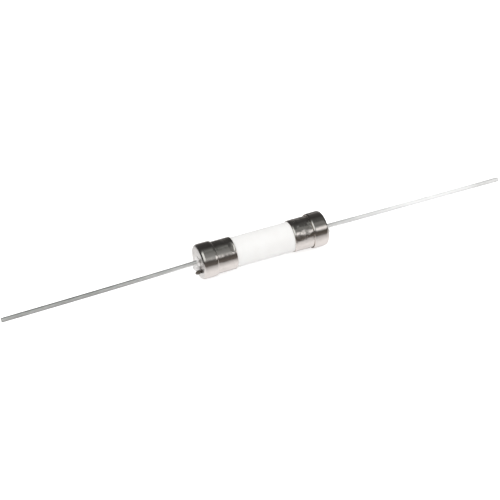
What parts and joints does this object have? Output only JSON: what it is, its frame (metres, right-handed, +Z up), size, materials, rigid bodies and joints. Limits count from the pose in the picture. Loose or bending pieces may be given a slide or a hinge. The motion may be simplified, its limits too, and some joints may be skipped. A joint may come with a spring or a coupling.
{
  "type": "ceramic cartridge fuse",
  "caption": "Axial-leaded ceramic cartridge fuse: a white ceramic tube with nested nickel-plated end caps and straight tinned wire leads, soldered into a circuit to protect it.",
  "frame": {"origin": "middle of the fuse body, on its axis", "axes": "+X along the fuse from the left lead to the right lead, +Z up"},
  "size_m": [0.0842, 0.0056, 0.0056],
  "materials": {
    "ceramic": "satin",
    "quartz_sand": "matte",
    "element_wire": "satin",
    "inner_solder": "satin",
    "contact_cap_nickel": "polished",
    "lead_cap_nickel": "polished",
    "tinned_wire": "satin",
    "bead_solder": "gloss"
  },
  "bodies": {
    "root": {"ceramic_tube": "ceramic", "sand_filler": "quartz_sand", "fuse_element": "element_wire", "inner_solder_left": "inner_solder", "inner_solder_right": "inner_solder", "contact_cap_left": "contact_cap_nickel", "contact_cap_right": "contact_cap_nickel", "lead_cap_left": "lead_cap_nickel", "lead_cap_right": "lead_cap_nickel", "lead_wire_left": "tinned_wire", "lead_wire_right": "tinned_wire", "lead_solder_left": "bead_solder", "lead_solder_right": "bead_solder"}
  },
  "joints": []
}
